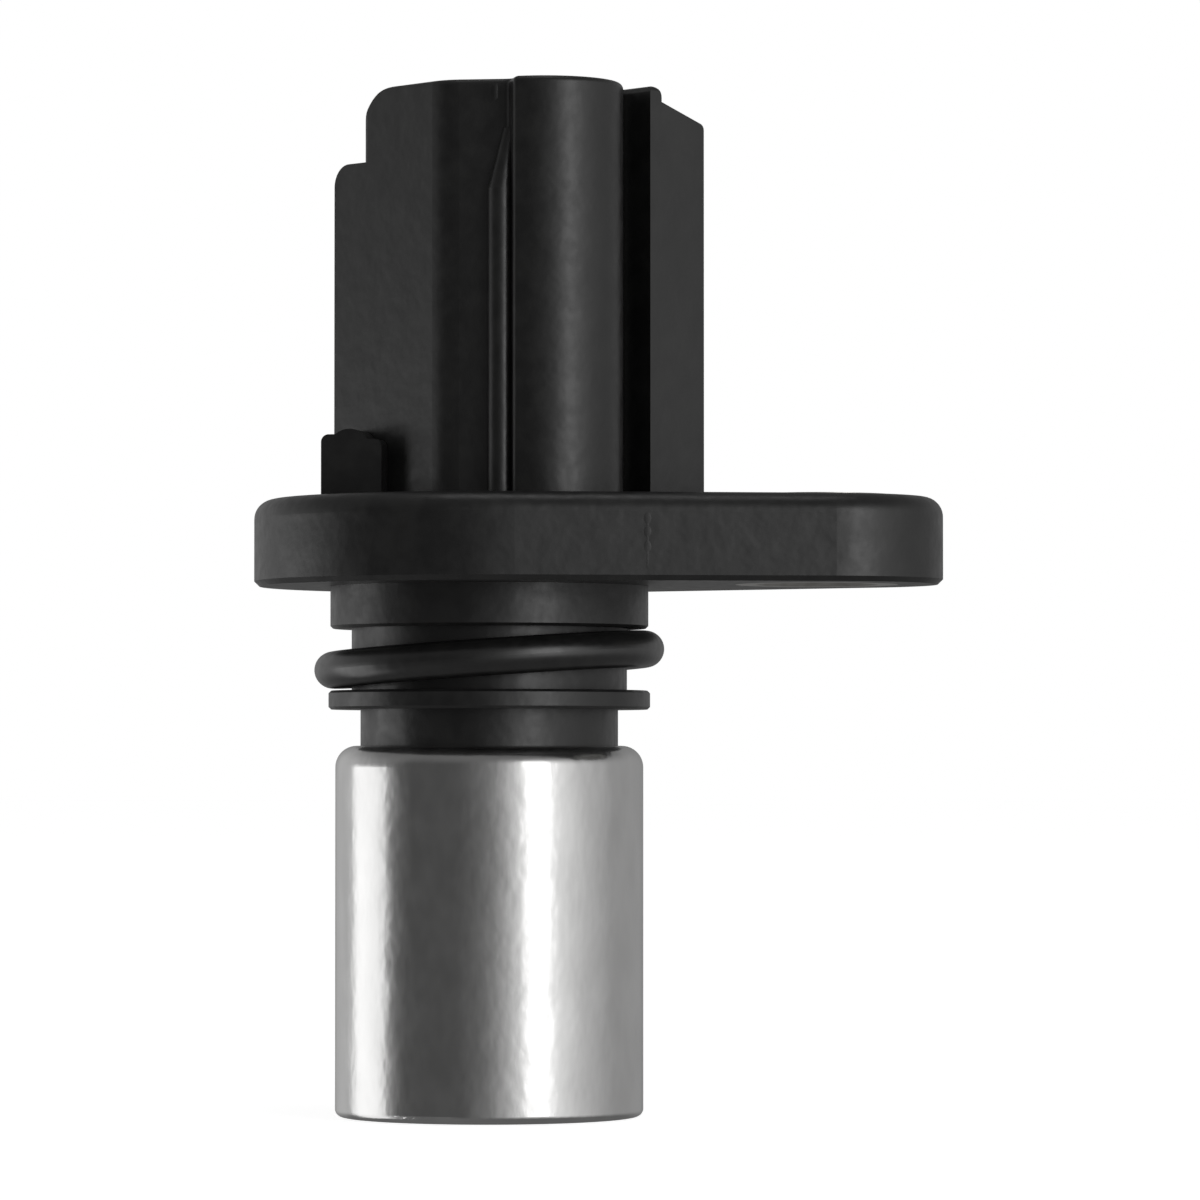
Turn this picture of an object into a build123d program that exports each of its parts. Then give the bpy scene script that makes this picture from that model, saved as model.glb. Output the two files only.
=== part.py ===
from build123d import *

import os
from math import asin, atan2, cos, degrees, radians, sin, sqrt

os.makedirs("parts", exist_ok=True)

# Sizes are in millimetres and angles in degrees. The barrel's axis is Z, the flange seats on
# the engine at Z = 0, the connector points up and the bolt hole lies towards +X.

# Flange
flange_thickness = 5.05
flange_radius = 13.75
ear_radius = 7.3
bolt_pitch = 19.45
flange_top_round = 1.15
flange_bottom_edge = 0.3

# Bolt bush
bush_radius = 4.7
bolt_bore_radius = 3.3
bush_stand = 0.1
bush_edge = 0.35

# Barrel of the housing, downwards from the seating face
collar_radius = 9.3
collar_height = 2.45
groove_radius = 8.05
groove_height = 3.63
lip_radius = 9.4
lip_height = 1.1
neck_radius = 7.53
neck_height = 2.12
barrel_edge = 0.15

# Metal cup
sleeve_radius = 9.0
sleeve_length = 21.6
sleeve_wall = 0.5
sleeve_shoulder = 1.25
sleeve_end_round = 0.45
sleeve_inner_edge = 0.2
sleeve_mouth_gap = 0.03

# Spigot of the housing inside the cup
spigot_length = 4.0
spigot_gap = 0.05
spigot_edge = 0.8
seal_groove_depth = 0.9
seal_groove_height = 1.2
seal_groove_drop = 1.4
seal_gap = 0.02

# Ring in the groove under the flange. It leans across the groove, as it does when handled.
ring_section = 2.15
ring_bore_gap = 0.05
ring_side_gap = 0.12
ring_high_side = 12.4

# Connector shell, in the connector's own directions: U points to the lobe, W lies across it.
connector_turn = -35.6
shell_height = 24.2
shell_back = 5.55
shell_left = 5.1
shell_right = 6.9
shell_wall = 1.3
shell_back_wall = 3.0
shell_corner = 0.5
shell_top_round = 0.35
back_top_round = 2.8
right_top_round = 0.65
lobe_u = 4.0
lobe_w = 0.8
lobe_radius = 4.55
slant_start_u = 1.75
slant_corner = 2.6
notch_u = 4.7
notch_w = -2.6
notch_wall_angle = -31.0
notch_edge = 0.4
groove_round = 0.3
socket_depth = 16.0
socket_corner = 1.0
socket_chamfer = 0.4

# Guards beside the latch nose
guard_reach = 2.55
guard_thickness = 1.6
guard_drop = 4.3
guard_corner = 1.3

# Latch nose on the back of the shell
nose_width = 4.4
nose_reach = 1.5
nose_height = 4.0
nose_drop = 6.5
nose_land = 0.8

# Side key at the front right corner of the shell
key_front_u = 7.4
key_thickness = 2.0
key_inner_w = 6.0
key_reach = 3.37
key_drop = 0.9
key_fall = 1.15
key_corner = 0.4

# Round bead beside the notch, which leans into it at the top
bead_radius = 0.76
bead_drop = 2.9
bead_from_notch = 0.44
bead_stand = 0.25
bead_lean_height = 3.5
bead_lean = 0.5
bead_tip_radius = 0.4

# Stop beside the connector, on the flange
stop_left = 9.24
stop_right = 5.6
stop_front = 3.6
stop_depth = 4.1
stop_height = 3.5
stop_fall = 0.3
stop_crown = 0.6
stop_crown_inset = 0.85
stop_corner = 0.45

# Terminals, each at its U and W place in the socket
terminal_places = {
    "terminal_supply": (0.2, -1.7),
    "terminal_signal": (0.2, 3.5),
    "terminal_ground": (4.6, 1.0),
}
blade_width = 2.3
blade_thickness = 0.64
blade_below_rim = 6.5
blade_root = 5.0
blade_tip = 1.0
blade_tip_width = 1.3
tail_width = 0.8

# Stack inside the cup, upwards from its end wall
insulator_thickness = 0.3
chip_width = 4.1
chip_depth = 3.0
chip_thickness = 1.1
chip_web = 0.4
magnet_radius = 3.8
magnet_length = 5.0
yoke_thickness = 1.2
board_stand = 1.1
board_thickness = 1.0
holder_radius = 8.0
holder_recess_radius = 6.9
chip_pocket_gap = 0.1

# Leads of the chip
lead_places = {"chip_lead_supply": -1.27, "chip_lead_signal": 0.0, "chip_lead_ground": 1.27}
lead_width = 0.4
lead_thickness = 0.3
lead_bend_y = 5.6
lead_above_board = 0.6
lead_channel_width = 4.3
lead_channel_back = 5.2

# Small components on the board: place, turn and length, width and height
board_components = {
    "supply_capacitor": ((-4.4, 1.4), 90.0, (2.0, 1.25, 0.9)),
    "output_capacitor": ((-1.4, 5.2), 0.0, (2.0, 1.25, 0.9)),
    "pull_up_resistor": ((-4.6, -2.6), 90.0, (1.6, 0.8, 0.5)),
}
component_edge = 0.1

# Heights worked out from the sizes above
flange_top = flange_thickness
inside_flange = flange_thickness / 2
rim_z = flange_top + shell_height
socket_floor_z = rim_z - socket_depth
collar_bottom = -collar_height
groove_bottom = collar_bottom - groove_height
lip_bottom = groove_bottom - lip_height
sleeve_top = lip_bottom - neck_height
sleeve_bottom = sleeve_top - sleeve_length
spigot_top = sleeve_top - sleeve_wall - sleeve_mouth_gap
spigot_bottom = spigot_top - spigot_length
cup_floor = sleeve_bottom + sleeve_wall
chip_bottom = cup_floor + insulator_thickness
chip_top = chip_bottom + chip_thickness
magnet_bottom = chip_top + chip_web
yoke_bottom = magnet_bottom + magnet_length
recess_floor = yoke_bottom + yoke_thickness
board_bottom = recess_floor + board_stand
board_top = board_bottom + board_thickness

# Radii and planes worked out from the sizes above
cup_radius = sleeve_radius - sleeve_wall
spigot_radius = cup_radius - spigot_gap
connector_plane = Plane.XY.offset(flange_top).rotated((0, 0, connector_turn))
across_plane = Plane.XZ.rotated((0, 0, connector_turn))
along_plane = Plane.YZ.rotated((0, 0, connector_turn))
slant_angle = degrees(atan2(notch_w + shell_left, notch_u - slant_start_u))
shell_middle_w = (shell_right - shell_left) / 2
key_outer_w = shell_right + key_reach
inside_back_wall = -shell_back + shell_back_wall / 2


def polar(start, length, angle):
    """Point at a length and angle from a start point in a sketch."""
    return (start[0] + length * cos(radians(angle)), start[1] + length * sin(radians(angle)))


def lobe_crossing(start, angle):
    """Point where a line from a start point inside the lobe's circle leaves that circle."""
    along = (start[0] - lobe_u) * cos(radians(angle)) + (start[1] - lobe_w) * sin(radians(angle))
    from_centre = (start[0] - lobe_u) ** 2 + (start[1] - lobe_w) ** 2
    return polar(start, -along + sqrt(along**2 - from_centre + lobe_radius**2), angle)


def connector_outline(back):
    """Plan view of the connector: a block with a slanted corner, a round lobe and a key notch."""
    notch = (notch_u, notch_w)
    reach = 2 * lobe_radius
    with BuildSketch() as outline:
        with BuildLine():
            Polyline(
                (-back, -shell_left),
                (slant_start_u, -shell_left),
                notch,
                (notch_u, key_inner_w),
                (key_front_u, key_inner_w),
                (key_front_u, shell_right),
                (-back, shell_right),
                close=True,
            )
        make_face()
        with Locations((lobe_u, lobe_w)):
            Circle(lobe_radius)
        with BuildLine():
            Polyline(
                notch,
                polar(notch, reach, notch_wall_angle),
                polar(notch, reach, (notch_wall_angle + slant_angle - 180) / 2),
                polar(notch, reach, slant_angle - 180),
                close=True,
            )
        make_face(mode=Mode.SUBTRACT)
    return outline.sketch


def corner_waste(corner, radius, inward):
    """Waste of a rounded top corner; inward is 1 if the body lies on its right, -1 if on its left."""
    top = (corner[0] + inward * radius, corner[1])
    side = (corner[0], corner[1] - radius)
    with BuildSketch() as waste:
        with BuildLine():
            Polyline(side, corner, top)
            RadiusArc(top, side, -inward * radius)
        make_face()
    return waste.sketch


def nearest_corner(sketch, point):
    """Corner of a sketch that lies nearest to a point."""
    return sketch.vertices().sort_by_distance((point[0], point[1], 0))[0]


# Terminals: a blade in the socket, a wide root in the moulding and a slim tail to the board
terminals = {}
for terminal_name, (place_u, place_w) in terminal_places.items():
    blade_top = rim_z - blade_below_rim
    root_bottom = socket_floor_z - blade_root
    with BuildPart() as terminal:
        with BuildSketch(along_plane.offset(place_u - blade_thickness / 2)):
            with BuildLine():
                Polyline(
                    (place_w - tail_width / 2, board_bottom),
                    (place_w + tail_width / 2, board_bottom),
                    (place_w + tail_width / 2, root_bottom),
                    (place_w + blade_width / 2, root_bottom),
                    (place_w + blade_width / 2, blade_top - blade_tip),
                    (place_w + blade_tip_width / 2, blade_top),
                    (place_w - blade_tip_width / 2, blade_top),
                    (place_w - blade_width / 2, blade_top - blade_tip),
                    (place_w - blade_width / 2, root_bottom),
                    (place_w - tail_width / 2, root_bottom),
                    close=True,
                )
            make_face()
        extrude(amount=blade_thickness)
    terminal.part.label = terminal_name
    export_step(terminal.part, f"parts/{terminal_name}.step")
    terminals[terminal_name] = terminal.part

# Bolt bush: a steel tube that keeps the bolt's load off the plastic
with BuildPart() as bolt_bush:
    with BuildSketch():
        with Locations((bolt_pitch, 0)):
            Circle(bush_radius)
            Circle(bolt_bore_radius, mode=Mode.SUBTRACT)
    extrude(amount=flange_thickness + bush_stand)
    chamfer(bolt_bush.edges().filter_by(GeomType.CIRCLE).sort_by(SortBy.RADIUS)[:2], bush_edge)
bolt_bush.part.label = "bolt_bush"
export_step(bolt_bush.part, "parts/bolt_bush.step")

# Housing: flange, barrel, connector shell and its guards, nose, key, bead and stop in one moulding
with BuildPart() as housing:
    # Flange, a round lobe and an ear joined by straight walls
    with BuildSketch():
        Circle(flange_radius)
        with Locations((bolt_pitch, 0)):
            Circle(ear_radius)
        make_hull()
    extrude(amount=flange_thickness)
    fillet(housing.edges().group_by(Axis.Z)[-1], flange_top_round)
    chamfer(housing.edges().group_by(Axis.Z)[0], flange_bottom_edge)

    # Barrel: collar, ring groove, lip, neck and spigot with its seal groove
    seal_groove_top = spigot_top - seal_groove_drop
    seal_groove_bottom = seal_groove_top - seal_groove_height
    seal_floor_radius = spigot_radius - seal_groove_depth
    with BuildSketch(Plane.XZ) as barrel_section:
        with BuildLine():
            Polyline(
                (0, inside_flange),
                (collar_radius, inside_flange),
                (collar_radius, collar_bottom),
                (groove_radius, collar_bottom),
                (groove_radius, groove_bottom),
                (lip_radius, groove_bottom),
                (lip_radius, lip_bottom),
                (neck_radius, lip_bottom),
                (neck_radius, spigot_top),
                (spigot_radius, spigot_top),
                (spigot_radius, seal_groove_top),
                (seal_floor_radius, seal_groove_top),
                (seal_floor_radius, seal_groove_bottom),
                (spigot_radius, seal_groove_bottom),
                (spigot_radius, spigot_bottom),
                (0, spigot_bottom),
                close=True,
            )
        make_face()
        chamfer(nearest_corner(barrel_section, (collar_radius, collar_bottom)), barrel_edge)
        chamfer(nearest_corner(barrel_section, (lip_radius, groove_bottom)), barrel_edge)
        chamfer(nearest_corner(barrel_section, (lip_radius, lip_bottom)), barrel_edge)
        chamfer(nearest_corner(barrel_section, (spigot_radius, spigot_top)), spigot_edge)
    revolve(axis=Axis.Z)

    # Connector shell, solid until its socket is cut
    notch_mouth = lobe_crossing((notch_u, notch_w), notch_wall_angle)
    lobe_foot = lobe_crossing((notch_u, lobe_w), 90)
    with BuildSketch(connector_plane) as shell_section:
        add(connector_outline(shell_back))
        fillet(nearest_corner(shell_section, (slant_start_u, -shell_left)), slant_corner)
        fillet(nearest_corner(shell_section, notch_mouth), notch_edge)
        fillet(nearest_corner(shell_section, (notch_u, notch_w)), notch_edge)
        fillet(nearest_corner(shell_section, lobe_foot), groove_round)
        fillet(nearest_corner(shell_section, (notch_u, key_inner_w)), groove_round)
        fillet(nearest_corner(shell_section, (-shell_back, -shell_left)), shell_corner)
        fillet(nearest_corner(shell_section, (-shell_back, shell_right)), shell_corner)
    extrude(amount=shell_height)
    fillet(housing.edges().group_by(Axis.Z)[-1], shell_top_round)

    # Socket, with a wall of even thickness around the lobe and a thicker one behind
    socket_back = shell_back - shell_back_wall
    with BuildSketch(connector_plane.offset(shell_height)) as socket_section:
        add(connector_outline(socket_back + shell_wall))
        offset(amount=-shell_wall, kind=Kind.ARC)
        fillet(nearest_corner(socket_section, (-socket_back, shell_wall - shell_left)), socket_corner)
        fillet(nearest_corner(socket_section, (-socket_back, shell_right - shell_wall)), socket_corner)
    extrude(amount=-socket_depth, mode=Mode.SUBTRACT)
    rim_face = housing.faces().filter_by(Axis.Z).sort_by(Axis.Z)[-1]
    chamfer(rim_face.inner_wires()[0].edges(), socket_chamfer)

    # Rounded tops of the back wall, where the latch rides up, and of the right wall
    with BuildSketch(across_plane):
        add(corner_waste((-shell_back, rim_z), back_top_round, 1))
    extrude(amount=2 * shell_right, both=True, mode=Mode.SUBTRACT)
    with BuildSketch(along_plane):
        add(corner_waste((shell_right, rim_z), right_top_round, -1))
    extrude(amount=2 * key_front_u, both=True, mode=Mode.SUBTRACT)

    # Guards, each flush with a side of the shell and standing out past its back
    guard_top = rim_z - guard_drop
    for guard_outer_w in (-shell_left, shell_right - guard_thickness):
        with BuildSketch(across_plane.offset(-guard_outer_w)) as guard_section:
            with BuildLine():
                Polyline(
                    (-shell_back - guard_reach, inside_flange),
                    (-shell_back - guard_reach, guard_top),
                    (inside_back_wall, guard_top),
                    (inside_back_wall, inside_flange),
                    close=True,
                )
            make_face()
            fillet(nearest_corner(guard_section, (-shell_back - guard_reach, guard_top)), guard_corner)
        extrude(amount=-guard_thickness)

    # Latch nose: a ramp from above, a short land and a square catch below
    nose_top = rim_z - nose_drop
    nose_bottom = nose_top - nose_height
    with BuildSketch(across_plane.offset(-shell_middle_w)):
        with BuildLine():
            Polyline(
                (inside_back_wall, nose_bottom),
                (-shell_back - nose_reach, nose_bottom),
                (-shell_back - nose_reach, nose_bottom + nose_land),
                (-shell_back, nose_top),
                (inside_back_wall, nose_top),
                close=True,
            )
        make_face()
    extrude(amount=nose_width / 2, both=True)

    # Side key with a falling top
    with BuildSketch(along_plane.offset(key_front_u)) as key_section:
        with BuildLine():
            Polyline(
                (key_inner_w, inside_flange),
                (key_outer_w, inside_flange),
                (key_outer_w, rim_z - key_drop - key_fall),
                (shell_right, rim_z - key_drop),
                (key_inner_w, rim_z - key_drop),
                close=True,
            )
        make_face()
        fillet(nearest_corner(key_section, (key_outer_w, rim_z - key_drop - key_fall)), key_corner)
    extrude(amount=-key_thickness)

    # Round bead on the slanted face, with a top that leans into the notch
    bead_on_face = polar((notch_u, notch_w), -bead_from_notch, slant_angle)
    bead_foot = polar(bead_on_face, bead_stand, slant_angle - 90)
    bead_tip = polar(bead_on_face, bead_lean, slant_angle)
    bead_top = shell_height - bead_drop
    with BuildSketch(connector_plane):
        with Locations(bead_foot):
            Circle(bead_radius)
    extrude(amount=bead_top - bead_lean_height)
    with BuildSketch(connector_plane.offset(bead_top - bead_lean_height)):
        with Locations(bead_foot):
            Circle(bead_radius)
    with BuildSketch(connector_plane.offset(bead_top)):
        with Locations(bead_tip):
            Circle(bead_tip_radius)
    loft()

    # Stop beside the connector, with a crowned top
    with BuildSketch(Plane.XZ.offset(stop_front)) as stop_section:
        low_top = flange_top + stop_height
        high_top = low_top + stop_fall
        with BuildLine():
            Polyline(
                (-stop_right - stop_crown_inset, low_top),
                (-stop_right, low_top),
                (-stop_right, inside_flange),
                (-stop_left, inside_flange),
                (-stop_left, high_top),
                (-stop_left + stop_crown_inset, high_top),
            )
            ThreePointArc(
                (-stop_left + stop_crown_inset, high_top),
                (-(stop_left + stop_right) / 2, low_top + stop_crown),
                (-stop_right - stop_crown_inset, low_top),
            )
        make_face()
        fillet(nearest_corner(stop_section, (-stop_left, high_top)), stop_corner)
        fillet(nearest_corner(stop_section, (-stop_right, low_top)), stop_corner)
    extrude(amount=-stop_depth)

    # Seats of the moulded-in metal
    with Locations((bolt_pitch, 0, 0)):
        Hole(bush_radius)
    for blade in terminals.values():
        add(blade, mode=Mode.SUBTRACT)
housing.part.label = "housing"
export_step(housing.part, "parts/housing.step")

# Inside of the cup, which the cup, the potting and the seal share
with BuildPart() as cup_cavity:
    with BuildSketch(Plane.XY.offset(cup_floor)):
        Circle(cup_radius)
    extrude(amount=sleeve_length - 2 * sleeve_wall)
    chamfer(cup_cavity.edges().group_by(Axis.Z)[-1], sleeve_shoulder - sleeve_wall)
    chamfer(cup_cavity.edges().group_by(Axis.Z)[0], sleeve_inner_edge)

# Drawn steel cup with its mouth rolled in over the spigot
with BuildPart() as sensor_sleeve:
    with BuildSketch(Plane.XY.offset(sleeve_bottom)):
        Circle(sleeve_radius)
    extrude(amount=sleeve_length)
    fillet(sensor_sleeve.edges().group_by(Axis.Z)[-1], sleeve_shoulder)
    fillet(sensor_sleeve.edges().group_by(Axis.Z)[0], sleeve_end_round)
    add(cup_cavity.part, mode=Mode.SUBTRACT)
    with BuildSketch(Plane.XY.offset(sleeve_top)):
        Circle(neck_radius + sleeve_mouth_gap)
    extrude(amount=-2 * sleeve_wall, mode=Mode.SUBTRACT)
sensor_sleeve.part.label = "sensor_sleeve"
export_step(sensor_sleeve.part, "parts/sensor_sleeve.step")

# Rubber ring, leaning from the lip on one side to the collar on the other
ring_circle_radius = groove_radius + ring_bore_gap + ring_section / 2
ring_lean = degrees(asin((groove_height - ring_section - 2 * ring_side_gap) / (2 * ring_circle_radius)))
ring_up = Vector(0, 0, 1).rotate(Axis.Y, -ring_lean).rotate(Axis.Z, ring_high_side)
ring_plane = Plane(origin=(0, 0, collar_bottom - groove_height / 2), z_dir=ring_up)
with BuildPart(ring_plane) as o_ring:
    Torus(ring_circle_radius, ring_section / 2)
o_ring.part.label = "o_ring"
export_step(o_ring.part, "parts/o_ring.step")

# Seal between the spigot and the cup, a ring of rectangular section
with BuildPart() as sleeve_seal:
    with BuildSketch(Plane.XY.offset(seal_groove_bottom + seal_gap)):
        Circle(cup_radius - seal_gap)
        Circle(seal_floor_radius + seal_gap, mode=Mode.SUBTRACT)
    extrude(amount=seal_groove_height - 2 * seal_gap)
sleeve_seal.part.label = "sleeve_seal"
export_step(sleeve_seal.part, "parts/sleeve_seal.step")

# Insulator between the chip and the cup's end wall
with BuildPart() as end_insulator:
    with BuildSketch(Plane.XY.offset(cup_floor)):
        Circle(cup_radius - sleeve_inner_edge)
    extrude(amount=insulator_thickness)
end_insulator.part.label = "end_insulator"
export_step(end_insulator.part, "parts/end_insulator.step")

# Hall chip, flat against the insulator
with BuildPart() as hall_chip:
    with BuildSketch(Plane.XY.offset(chip_bottom)):
        Rectangle(chip_width, chip_depth)
    extrude(amount=chip_thickness)
    chamfer(hall_chip.edges().group_by(Axis.Z)[-1], component_edge)
hall_chip.part.label = "hall_chip"
export_step(hall_chip.part, "parts/hall_chip.step")

# Leads of the chip: out of its side, round a bend and up through the board
lead_z = (chip_bottom + chip_top) / 2
leads = {}
for lead_name, lead_x in lead_places.items():
    with BuildPart() as lead:
        with BuildSketch(Plane.YZ.offset(lead_x - lead_width / 2)) as lead_section:
            with BuildLine():
                Polyline(
                    (-chip_depth / 2, lead_z - lead_thickness / 2),
                    (-lead_bend_y - lead_thickness / 2, lead_z - lead_thickness / 2),
                    (-lead_bend_y - lead_thickness / 2, board_top + lead_above_board),
                    (-lead_bend_y + lead_thickness / 2, board_top + lead_above_board),
                    (-lead_bend_y + lead_thickness / 2, lead_z + lead_thickness / 2),
                    (-chip_depth / 2, lead_z + lead_thickness / 2),
                    close=True,
                )
            make_face()
            bend = (-lead_bend_y - lead_thickness / 2, lead_z - lead_thickness / 2)
            fillet(nearest_corner(lead_section, bend), lead_thickness)
        extrude(amount=lead_width)
    lead.part.label = lead_name
    export_step(lead.part, f"parts/{lead_name}.step")
    leads[lead_name] = lead.part

# Magnet and the steel disc behind it
with BuildPart() as magnet:
    with BuildSketch(Plane.XY.offset(magnet_bottom)):
        Circle(magnet_radius)
    extrude(amount=magnet_length)
magnet.part.label = "magnet"
export_step(magnet.part, "parts/magnet.step")

with BuildPart() as magnet_yoke:
    with BuildSketch(Plane.XY.offset(yoke_bottom)):
        Circle(magnet_radius)
    extrude(amount=yoke_thickness)
magnet_yoke.part.label = "magnet_yoke"
export_step(magnet_yoke.part, "parts/magnet_yoke.step")

# Holder: a drum with a magnet pocket, a chip pocket below, a channel for the leads and a ledge
with BuildPart() as element_holder:
    with BuildSketch(Plane.XY.offset(chip_bottom)):
        Circle(holder_radius)
    extrude(amount=board_bottom - chip_bottom)
    with BuildSketch(Plane.XY.offset(board_bottom)):
        Circle(holder_recess_radius)
    extrude(amount=-board_stand, mode=Mode.SUBTRACT)
    with BuildSketch(Plane.XY.offset(magnet_bottom)):
        Circle(magnet_radius)
    extrude(amount=board_bottom - magnet_bottom, mode=Mode.SUBTRACT)
    with BuildSketch(Plane.XY.offset(chip_bottom)):
        Rectangle(chip_width + 2 * chip_pocket_gap, chip_depth + 2 * chip_pocket_gap)
        with Locations((0, -holder_radius / 2)):
            Rectangle(lead_channel_width, holder_radius)
    extrude(amount=chip_thickness, mode=Mode.SUBTRACT)
    with BuildSketch(Plane.XY.offset(chip_bottom)):
        with Locations((0, -lead_channel_back)):
            Rectangle(lead_channel_width, holder_radius, align=(Align.CENTER, Align.MAX))
    extrude(amount=board_bottom - chip_bottom, mode=Mode.SUBTRACT)
element_holder.part.label = "element_holder"
export_step(element_holder.part, "parts/element_holder.step")

# Board, with a hole for each tail and each lead
with BuildPart() as circuit_board:
    with BuildSketch(Plane.XY.offset(board_bottom)):
        Circle(holder_radius)
    extrude(amount=board_thickness)
    for wire in list(terminals.values()) + list(leads.values()):
        add(wire, mode=Mode.SUBTRACT)
circuit_board.part.label = "circuit_board"
export_step(circuit_board.part, "parts/circuit_board.step")

# Chip capacitors and resistor on the board
components = {}
for component_name, (place, turn, (length, width, height)) in board_components.items():
    with BuildPart() as component:
        with BuildSketch(Plane.XY.offset(board_top)):
            with Locations(Location(place, turn)):
                Rectangle(length, width)
        extrude(amount=height)
        chamfer(component.edges().group_by(Axis.Z)[-1], component_edge)
    component.part.label = component_name
    export_step(component.part, f"parts/{component_name}.step")
    components[component_name] = component.part

# Potting: whatever is left of the cup below the spigot
with BuildPart() as potting:
    add(cup_cavity.part)
    split(bisect_by=Plane.XY.offset(spigot_bottom), keep=Keep.BOTTOM)
    for sealed in (end_insulator, hall_chip, magnet, magnet_yoke, element_holder, circuit_board):
        add(sealed.part, mode=Mode.SUBTRACT)
    for sealed_part in list(terminals.values()) + list(leads.values()) + list(components.values()):
        add(sealed_part, mode=Mode.SUBTRACT)
potting.part.label = "potting"
export_step(potting.part, "parts/potting.step")
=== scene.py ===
import bpy
from math import cos, pi, radians, sin
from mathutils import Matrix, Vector


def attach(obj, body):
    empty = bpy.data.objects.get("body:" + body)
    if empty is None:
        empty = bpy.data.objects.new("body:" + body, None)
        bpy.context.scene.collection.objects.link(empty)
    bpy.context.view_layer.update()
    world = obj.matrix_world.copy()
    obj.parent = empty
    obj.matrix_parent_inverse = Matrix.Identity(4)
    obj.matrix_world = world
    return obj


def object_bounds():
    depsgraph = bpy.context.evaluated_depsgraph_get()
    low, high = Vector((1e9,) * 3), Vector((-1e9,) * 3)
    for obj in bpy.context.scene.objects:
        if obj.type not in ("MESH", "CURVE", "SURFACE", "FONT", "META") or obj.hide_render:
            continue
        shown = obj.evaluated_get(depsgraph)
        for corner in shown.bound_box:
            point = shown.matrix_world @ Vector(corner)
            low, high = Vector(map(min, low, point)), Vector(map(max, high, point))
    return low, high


# Camshaft position sensor: the photograph's camera, its studio, the materials and the mould's fine lines.
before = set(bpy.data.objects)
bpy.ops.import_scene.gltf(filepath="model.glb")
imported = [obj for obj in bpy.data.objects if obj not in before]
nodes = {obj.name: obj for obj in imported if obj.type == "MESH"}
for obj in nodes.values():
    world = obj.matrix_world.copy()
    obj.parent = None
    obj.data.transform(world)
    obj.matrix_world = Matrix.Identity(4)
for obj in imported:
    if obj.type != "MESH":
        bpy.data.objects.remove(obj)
cad_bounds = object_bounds()
mm = 0.001


# Camera. The photograph turns the part so that its bolt ear points right and a little towards the camera.
camera_turn = radians(12.4)
camera_pitch = radians(1.585)
camera_distance = 348 * mm
camera_side = 6.47 * mm
camera_height = -10.4 * mm
sensor_width = 36
lens = 178.5
farthest_seen = 10
right = Vector((cos(camera_turn), sin(camera_turn), 0))
forward = Vector((-sin(camera_turn), cos(camera_turn), 0))

camera_data = bpy.data.cameras.new("camera")
camera_data.sensor_width = sensor_width
camera_data.lens = lens
camera_data.clip_end = farthest_seen
camera = bpy.data.objects.new("camera", camera_data)
camera.location = right * camera_side - forward * camera_distance + Vector((0, 0, camera_height))
camera.rotation_euler = (pi / 2 + camera_pitch, 0, camera_turn)
bpy.context.scene.collection.objects.link(camera)
bpy.context.scene.camera = camera


def tree_of(material):
    """Empties a material's node tree but for its output, and returns the tree and its output."""
    material.use_nodes = True
    tree = material.node_tree
    tree.nodes.clear()
    return tree, tree.nodes.new("ShaderNodeOutputMaterial")


def node_maker(tree):
    """Short calls for one node tree: a node of a type, a link, and a maths node with its inputs."""
    add, link = tree.nodes.new, tree.links.new

    def value_of(operation, *inputs, kind="ShaderNodeMath", output=0):
        node = add(kind)
        node.operation = operation
        for socket, given in zip(node.inputs, inputs):
            if isinstance(given, bpy.types.NodeSocket):
                link(given, socket)
            else:
                socket.default_value = given
        return node.outputs[output]

    return add, link, value_of


def from_camera(turn, distance, height):
    """Point at a distance from the part's axis, at a turn in degrees to the camera's right of the camera."""
    across = right * sin(radians(turn)) - forward * cos(radians(turn))
    return across * distance + Vector((0, 0, height))


# World: white for the camera, and for reflections a studio, given as its level at each turn from the camera.
# It is dim in front on the left, bright to the right, less bright behind, and darker overhead and below.
# A white room in the reflections would leave the cup without its dark and bright bands. Turns and fades
# are in degrees.
studio_levels = [
    (-180, 0.22),
    (-150, 0.50),
    (-125, 0.50),
    (-80, 0.20),
    (-65, 0.075),
    (-20, 0.08),
    (0, 0.17),
    (14, 0.44),
    (22, 0.74),
    (50, 1.0),
    (60, 0.88),
    (75, 0.61),
    (105, 0.35),
    (150, 0.34),
    (180, 0.22),
]
overhead_level = 0.15
below_level = 0.14
fade_up = (12, 50)
fade_down = (3, 28)


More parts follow.
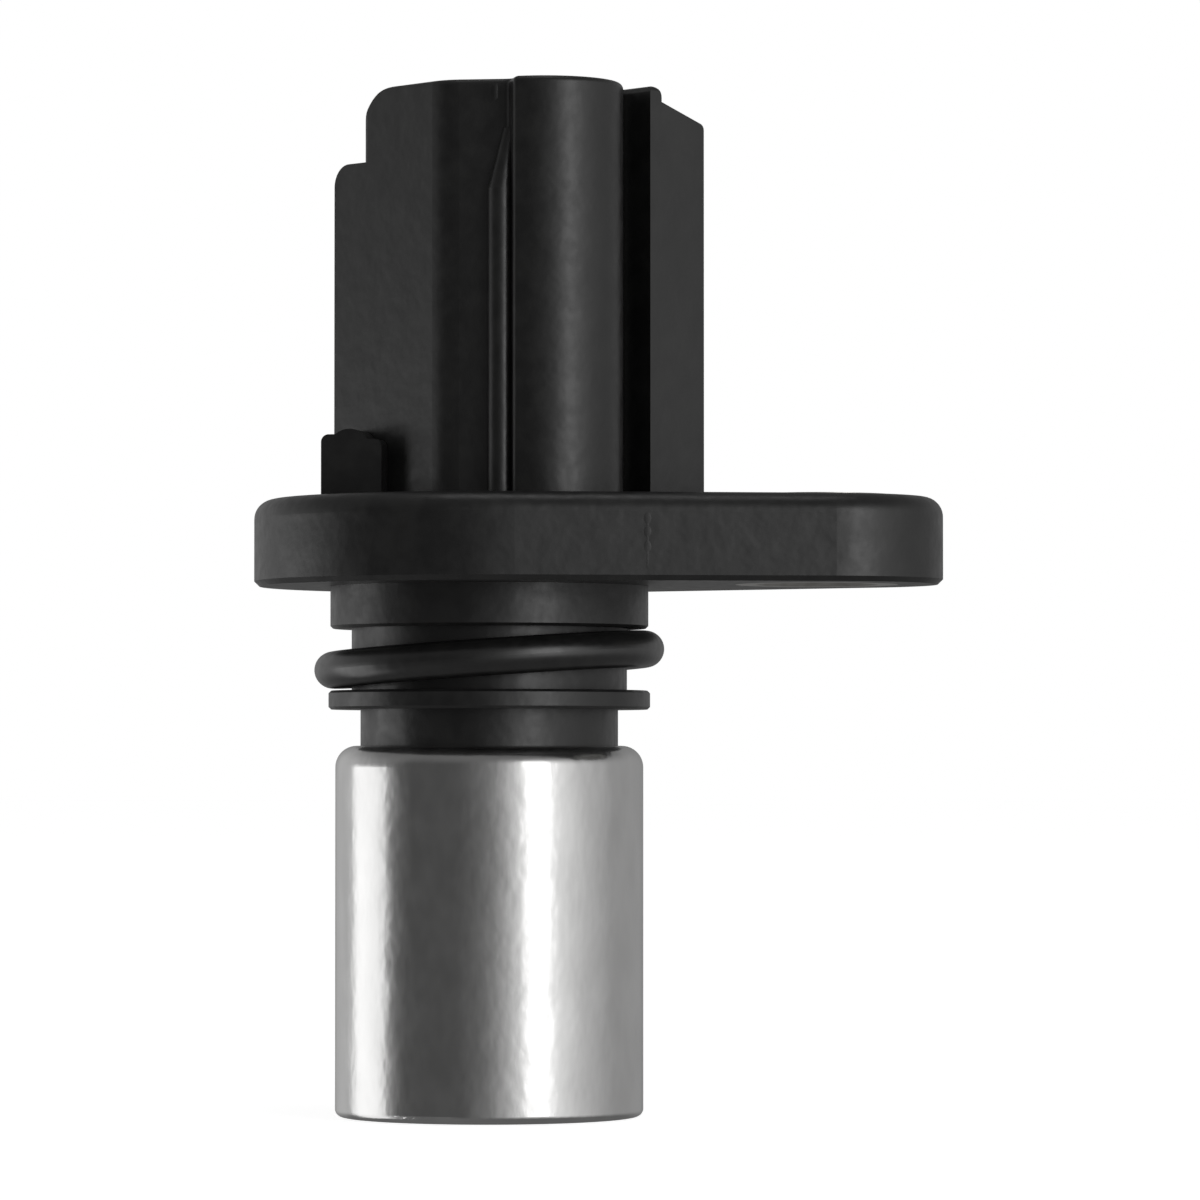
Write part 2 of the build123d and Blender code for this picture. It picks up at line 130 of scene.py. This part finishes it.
def make_world():
    world = bpy.data.worlds.new("studio")
    bpy.context.scene.world = world
    world.use_nodes = True
    tree = world.node_tree
    tree.nodes.clear()
    add, link, value_of = node_maker(tree)
    direction = add("ShaderNodeTexCoord").outputs["Generated"]
    vector = {"kind": "ShaderNodeVectorMath", "output": "Value"}
    across = value_of("DOT_PRODUCT", direction, right, **vector)
    towards = value_of("DOT_PRODUCT", direction, -forward, **vector)
    up = value_of("DOT_PRODUCT", direction, Vector((0, 0, 1)), **vector)
    turn = value_of("ARCTAN2", across, towards)
    ramp = add("ShaderNodeValToRGB")
    stops = ramp.color_ramp.elements
    stops.remove(stops[1])
    for degrees_round, level in studio_levels:
        position = degrees_round / 360 + 0.5
        stop = stops[0] if position == 0 else stops.new(position)
        stop.color = (level, level, level, 1)
    link(value_of("MULTIPLY_ADD", turn, 1 / (2 * pi), 0.5), ramp.inputs["Fac"])

    def cap(level_around, side, fade, level):
        blend = add("ShaderNodeMapRange")
        blend.interpolation_type = "SMOOTHSTEP"
        blend.inputs["From Min"].default_value = side * sin(radians(fade[0]))
        blend.inputs["From Max"].default_value = side * sin(radians(fade[1]))
        link(up, blend.inputs["Value"])
        mix = add("ShaderNodeMix")
        link(blend.outputs["Result"], mix.inputs["Factor"])
        link(level_around, mix.inputs["A"])
        mix.inputs["B"].default_value = level
        return mix.outputs["Result"]

    level = cap(cap(ramp.outputs["Color"], 1, fade_up, overhead_level), -1, fade_down, below_level)
    studio = add("ShaderNodeBackground")
    studio.inputs["Color"].default_value = (1, 1, 1, 1)
    link(level, studio.inputs["Strength"])
    white = add("ShaderNodeBackground")
    white.inputs["Color"].default_value = (1, 1, 1, 1)
    mix = add("ShaderNodeMixShader")
    link(add("ShaderNodeLightPath").outputs["Is Camera Ray"], mix.inputs["Fac"])
    link(studio.outputs[0], mix.inputs[1])
    link(white.outputs[0], mix.inputs[2])
    link(mix.outputs[0], add("ShaderNodeOutputWorld").inputs["Surface"])


make_world()


# Lamps: a tall soft box on each side of the camera and a square one overhead, each turned to the part's
# axis. Places and sizes are in metres.
def soft_box(name, place, aim, width, height, radiance):
    data = bpy.data.lights.new(name, "AREA")
    data.shape = "RECTANGLE"
    data.size = width
    data.size_y = height
    data.energy = radiance * pi * width * height
    lamp = bpy.data.objects.new(name, data)
    lamp.location = place
    lamp.rotation_euler = (Vector(aim) - place).to_track_quat("-Z", "Y").to_euler()
    bpy.context.scene.collection.objects.link(lamp)


soft_box("lamp_right", from_camera(37.5, 0.6, 0.125), (0, 0, 0.125), width=0.2, height=0.41, radiance=1.37)
soft_box("lamp_left", from_camera(-99, 0.15, -0.068), (0, 0, -0.068), width=0.1, height=0.144, radiance=1.0)
soft_box("lamp_overhead", from_camera(0, 0, 0.8), (0, 0, 0), width=0.35, height=0.35, radiance=0.8)


# Floor: white, and it keeps the part's shadow. Reflections and shadows see through it to the studio below,
# and from underneath it is clear. It lies a hair under the part, so that no face shares its plane.
floor_reach = 3.0
floor_gap = 0.02 * mm
floor_white = 0.9
floor_glow = 0.81


def make_floor():
    low = cad_bounds[0][2] - floor_gap
    corners = [(x * floor_reach, y * floor_reach, low) for x, y in ((-1, -1), (1, -1), (1, 1), (-1, 1))]
    mesh = bpy.data.meshes.new("floor")
    mesh.from_pydata(corners, [], [(0, 1, 2, 3)])
    material = bpy.data.materials.new("floor")
    tree, output = tree_of(material)
    add, link, value_of = node_maker(tree)
    diffuse = add("ShaderNodeBsdfDiffuse")
    diffuse.inputs["Color"].default_value = (floor_white, floor_white, floor_white, 1)
    glow = add("ShaderNodeEmission")
    seen = add("ShaderNodeLightPath").outputs["Is Camera Ray"]
    link(value_of("MULTIPLY", seen, floor_glow), glow.inputs["Strength"])
    both = add("ShaderNodeAddShader")
    link(diffuse.outputs[0], both.inputs[0])
    link(glow.outputs[0], both.inputs[1])
    sides = add("ShaderNodeMixShader")
    link(add("ShaderNodeNewGeometry").outputs["Backfacing"], sides.inputs["Fac"])
    link(both.outputs[0], sides.inputs[1])
    link(add("ShaderNodeBsdfTransparent").outputs[0], sides.inputs[2])
    link(sides.outputs[0], output.inputs["Surface"])
    mesh.materials.append(material)
    floor = bpy.data.objects.new("floor", mesh)
    floor.visible_glossy = False
    floor.visible_shadow = False
    bpy.context.scene.collection.objects.link(floor)


make_floor()


# Materials: soft patches between a dark and a pale colour, with gloss and relief that vary as well.
# Sizes and depths are in millimetres, and gloss is the range of the roughness. wave_period is how long
# one wave of the wave texture is at a scale of 1, and patch_stretch is the part of the noise in use.
wave_period = 0.314
wave_distortion = 0.5
noise_detail = 2
patch_stretch = (0.35, 0.65)


def relief_height(add, link, value_of, place, kind, size):
    """Height from 0 to 1 of one kind of relief: noise, turned rings or a weave."""
    if kind == "noise":
        noise = add("ShaderNodeTexNoise")
        noise.inputs["Scale"].default_value = 1 / (size * mm)
        noise.inputs["Detail"].default_value = noise_detail
        link(place, noise.inputs["Vector"])
        return noise.outputs["Fac"]
    waves = []
    for direction in ("Z",) if kind == "rings" else ("X", "Y"):
        wave = add("ShaderNodeTexWave")
        wave.wave_type = "RINGS" if kind == "rings" else "BANDS"
        wave.rings_direction = direction
        wave.bands_direction = direction
        wave.inputs["Scale"].default_value = wave_period / (size * mm)
        wave.inputs["Distortion"].default_value = wave_distortion
        link(place, wave.inputs["Vector"])
        waves.append(wave.outputs["Fac"])
    return value_of("MULTIPLY", waves[0], waves[-1])


def make_look(
    name, dark, pale, gloss, patch, relief, metallic=0.0, ior=1.5, squeeze=(1, 1, 1), centre=(0, 0, 0)
):
    material = bpy.data.materials.new(name)
    tree, output = tree_of(material)
    add, link, value_of = node_maker(tree)
    vector = {"kind": "ShaderNodeVectorMath"}
    shader = add("ShaderNodeBsdfPrincipled")
    shader.inputs["Metallic"].default_value = metallic
    shader.inputs["IOR"].default_value = ior
    link(shader.outputs[0], output.inputs["Surface"])
    on_object = add("ShaderNodeTexCoord").outputs["Object"]
    from_centre = value_of("SUBTRACT", on_object, Vector(centre) * mm, **vector)
    place = value_of("MULTIPLY", from_centre, squeeze, **vector)

    tint = add("ShaderNodeValToRGB")
    for stop, position, colour in zip(tint.color_ramp.elements, patch_stretch, (dark, pale)):
        stop.position = position
        stop.color = (*colour, 1)
    link(relief_height(add, link, value_of, place, "noise", patch), tint.inputs["Fac"])
    link(tint.outputs["Color"], shader.inputs["Base Color"])

    shine = add("ShaderNodeMapRange")
    for socket, value in zip(("From Min", "From Max", "To Min", "To Max"), (*patch_stretch, *gloss)):
        shine.inputs[socket].default_value = value
    link(relief_height(add, link, value_of, place, "noise", patch / 2), shine.inputs["Value"])
    link(shine.outputs["Result"], shader.inputs["Roughness"])

    normal = None
    for kind, size, depth in relief:
        bump = add("ShaderNodeBump")
        bump.inputs["Distance"].default_value = depth * mm
        link(relief_height(add, link, value_of, place, kind, size), bump.inputs["Height"])
        if normal:
            link(normal, bump.inputs["Normal"])
        normal = bump.outputs[0]
    link(normal, shader.inputs["Normal"])
    return material


tin_pale = (0.74, 0.73, 0.71)
bush_centre = (19.45, 0, 0)
looks = {
    "black_plastic": make_look(
        "black_plastic",
        dark=(0.012, 0.012, 0.012),
        pale=(0.019, 0.019, 0.0185),
        gloss=(0.32, 0.40),
        patch=1.6,
        relief=[("noise", 1.4, 0.045), ("noise", 0.12, 0.001)],
        ior=1.65,
    ),
    "stainless_cup": make_look(
        "stainless_cup",
        dark=(0.69, 0.687, 0.682),
        pale=(0.745, 0.742, 0.737),
        gloss=(0.19, 0.25),
        patch=2.0,
        relief=[("noise", 1.8, 0.03), ("noise", 0.45, 0.006), ("noise", 0.1, 0.0006)],
        metallic=1.0,
        squeeze=(1, 1, 0.6),
    ),
    "seal_rubber": make_look(
        "seal_rubber",
        dark=(0.010, 0.010, 0.010),
        pale=(0.016, 0.016, 0.0155),
        gloss=(0.28, 0.34),
        patch=0.9,
        relief=[("noise", 1.4, 0.02), ("noise", 0.5, 0.0008)],
        ior=1.8,
    ),
    "bush_steel": make_look(
        "bush_steel",
        dark=(0.52, 0.51, 0.48),
        pale=(0.64, 0.63, 0.60),
        gloss=(0.28, 0.40),
        patch=0.7,
        relief=[("rings", 0.12, 0.004), ("noise", 0.3, 0.006)],
        metallic=1.0,
        centre=bush_centre,
    ),
    "terminal_tin": make_look(
        "terminal_tin",
        dark=(0.66, 0.65, 0.62),
        pale=tin_pale,
        gloss=(0.30, 0.42),
        patch=0.4,
        relief=[("noise", 0.06, 0.002)],
        metallic=1.0,
        squeeze=(1, 1, 0.06),
    ),
    "holder_plastic": make_look(
        "holder_plastic",
        dark=(0.045, 0.045, 0.045),
        pale=(0.075, 0.074, 0.072),
        gloss=(0.48, 0.62),
        patch=0.8,
        relief=[("noise", 0.2, 0.006)],
        squeeze=(1, 1, 0.3),
    ),
    "magnet_plating": make_look(
        "magnet_plating",
        dark=(0.58, 0.57, 0.56),
        pale=(0.68, 0.67, 0.66),
        gloss=(0.20, 0.32),
        patch=0.9,
        relief=[("noise", 0.25, 0.004)],
        metallic=1.0,
    ),
    "chip_plastic": make_look(
        "chip_plastic",
        dark=(0.03, 0.03, 0.033),
        pale=(0.05, 0.05, 0.054),
        gloss=(0.52, 0.66),
        patch=0.3,
        relief=[("noise", 0.05, 0.004)],
    ),
    "board_laminate": make_look(
        "board_laminate",
        dark=(0.035, 0.20, 0.075),
        pale=(0.06, 0.28, 0.11),
        gloss=(0.32, 0.46),
        patch=0.6,
        relief=[("weave", 0.3, 0.008)],
    ),
    "insulator_film": make_look(
        "insulator_film",
        dark=(0.62, 0.42, 0.11),
        pale=(0.74, 0.54, 0.18),
        gloss=(0.18, 0.28),
        patch=2.0,
        relief=[("noise", 1.5, 0.01)],
    ),
    "potting_resin": make_look(
        "potting_resin",
        dark=(0.06, 0.052, 0.044),
        pale=(0.09, 0.08, 0.068),
        gloss=(0.14, 0.28),
        patch=1.8,
        relief=[("noise", 0.9, 0.02)],
    ),
}


# Chip components: a body with a tinned cap at each end, told by the place along the component
cap_start = 0.32


def component_look(name, dark, pale, end_axis):
    material = make_look(name, dark, pale, gloss=(0.4, 0.52), patch=0.3, relief=[("noise", 0.08, 0.004)])
    add, link, value_of = node_maker(material.node_tree)
    shader = next(node for node in material.node_tree.nodes if node.type == "BSDF_PRINCIPLED")
    split = add("ShaderNodeSeparateXYZ")
    link(add("ShaderNodeTexCoord").outputs["Generated"], split.inputs[0])
    from_middle = value_of("ABSOLUTE", value_of("SUBTRACT", split.outputs[end_axis], 0.5))
    is_cap = value_of("GREATER_THAN", from_middle, cap_start)
    colour = add("ShaderNodeMix")
    colour.data_type = "RGBA"
    body, cap = (socket for socket in colour.inputs if socket.type == "RGBA")
    link(is_cap, colour.inputs["Factor"])
    link(shader.inputs["Base Color"].links[0].from_socket, body)
    cap.default_value = (*tin_pale, 1)
    link(next(socket for socket in colour.outputs if socket.type == "RGBA"), shader.inputs["Base Color"])
    link(is_cap, shader.inputs["Metallic"])
    return material


ceramic_dark, ceramic_pale = (0.46, 0.34, 0.22), (0.58, 0.45, 0.31)
component_looks = {
    "supply_capacitor": component_look("ceramic_along_y", ceramic_dark, ceramic_pale, "Y"),
    "output_capacitor": component_look("ceramic_along_x", ceramic_dark, ceramic_pale, "X"),
    "pull_up_resistor": component_look("resistor_along_y", (0.04, 0.04, 0.042), (0.06, 0.06, 0.062), "Y"),
}
for name, node in nodes.items():
    for place in node.material_slots:
        place.material = component_looks[name] if name in component_looks else looks[place.material.name]


# Witness lines of the mould: a fine ridge, and on the flange low marks where the moulding was pressed out.
# Two run up the flange's front, and a short wider one ends at the connector's rim. Each is found on the
# housing's front by its place across the camera's view. Sizes are in millimetres.
ridge_size = (0.06, 0.015)
rim_ridge_size = (0.2, 0.08)
run_out = 0.2
mark_size = (0.26, 0.4)
mark_height = 0.012
sunk = 0.005
outside = 100
mark_rings = 4
mark_sides = 16


def front_of_housing(across, height):
    """Point on the housing's front, and the directions out of it and along it."""
    start = right * across * mm - forward * outside * mm + Vector((0, 0, height * mm))
    point, outward = nodes["housing"].ray_cast(start, forward)[1:3]
    return point, outward, Vector((0, 0, 1)).cross(outward).normalized()


def witness_line(name, across, bottom, top, mark_heights=(), size=ridge_size):
    half_width, ridge_height = size
    vertices, faces = [], []

    def point_at(foot, outward, sideways, aside, rise, proud):
        vertices.append(foot + (sideways * aside + Vector((0, 0, rise)) + outward * proud) * mm)
        return len(vertices) - 1

    levels = [bottom, bottom + run_out, top - run_out, top]
    rows = []
    for height, share in zip(levels, (0, 1, 1, 0)):
        side = front_of_housing(across, height)
        proud = ridge_height * share - sunk * (1 - share)
        rows.append(
            [
                point_at(*side, -half_width, 0, -sunk),
                point_at(*side, 0, 0, proud),
                point_at(*side, half_width, 0, -sunk),
            ]
        )
    for low, high in zip(rows, rows[1:]):
        for left_end, right_end in ((0, 1), (1, 2)):
            faces.append((low[left_end], low[right_end], high[right_end], high[left_end]))

    for height in mark_heights:
        side = front_of_housing(across, height)
        crown = point_at(*side, 0, 0, mark_height)
        inner = None
        for ring in range(1, mark_rings + 1):
            share = ring / mark_rings
            proud = (mark_height + sunk) * (1 - share**2) - sunk
            circle = []
            for step in range(mark_sides):
                angle = 2 * pi * step / mark_sides
                aside, rise = mark_size[0] * share * cos(angle), mark_size[1] * share * sin(angle)
                circle.append(point_at(*side, aside, rise, proud))
            for step in range(mark_sides):
                after = (step + 1) % mark_sides
                if inner:
                    faces.append((inner[step], circle[step], circle[after], inner[after]))
                else:
                    faces.append((crown, circle[step], circle[after]))
            inner = circle

    mesh = bpy.data.meshes.new(name)
    mesh.from_pydata(vertices, [], faces)
    mesh.shade_smooth()
    mesh.materials.append(looks["black_plastic"])
    piece = bpy.data.objects.new(name, mesh)
    bpy.context.scene.collection.objects.link(piece)
    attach(piece, "root")


witness_line("witness_line_right", across=9.15, bottom=0.6, top=3.6, mark_heights=(1.9, 2.75, 3.5))
witness_line("witness_line_left", across=-4.8, bottom=0.6, top=3.6, mark_heights=(1.0,))
witness_line("witness_line_rim", across=0.37, bottom=27.9, top=29.0, size=rim_ridge_size)

bpy.context.scene.view_settings.view_transform = "Standard"
